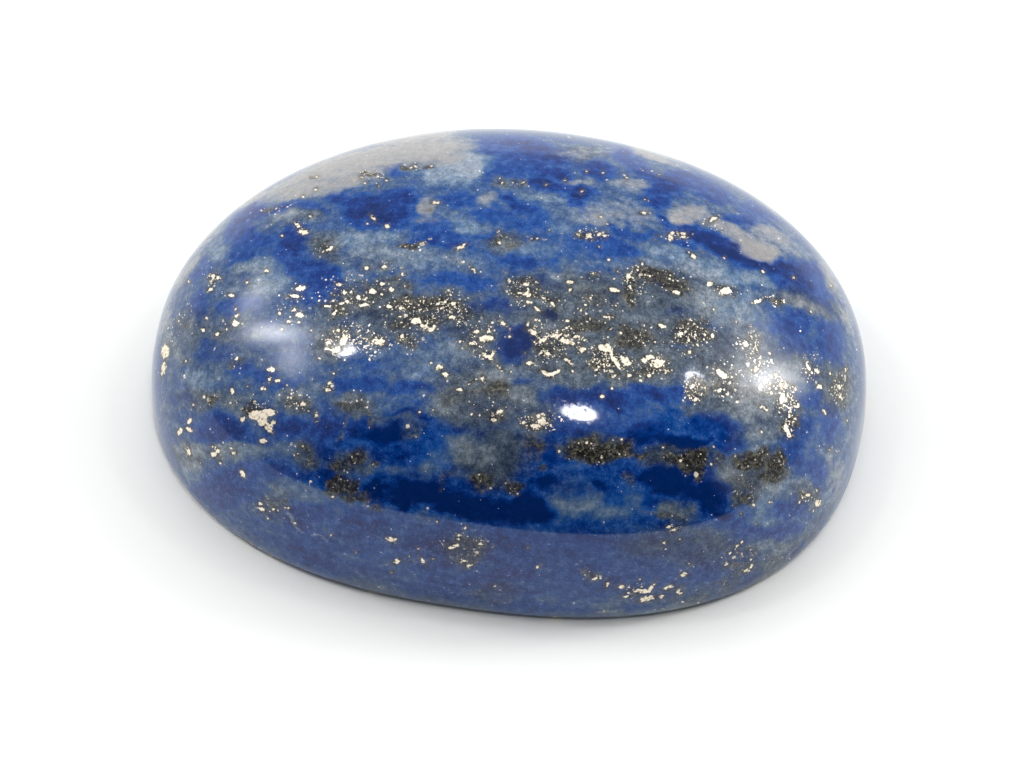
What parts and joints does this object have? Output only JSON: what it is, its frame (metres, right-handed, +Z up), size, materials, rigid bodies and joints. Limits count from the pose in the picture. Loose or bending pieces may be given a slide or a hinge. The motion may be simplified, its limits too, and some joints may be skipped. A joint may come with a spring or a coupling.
{
  "type": "lapis lazuli cabochon",
  "caption": "Polished oval stone with a domed top, a rounded lower edge and a flat base for resting, gluing or a bezel setting.",
  "frame": {"origin": "centre of the bounding box's underside, on the plane of the flat base", "axes": "+X along the stone's length, +Y across its width, +Z up from the flat base to the crest of the dome"},
  "size_m": [0.025, 0.0184, 0.0083],
  "materials": {
    "polished_lapis": "polished"
  },
  "bodies": {
    "root": {"cabochon": "polished_lapis"}
  },
  "joints": []
}
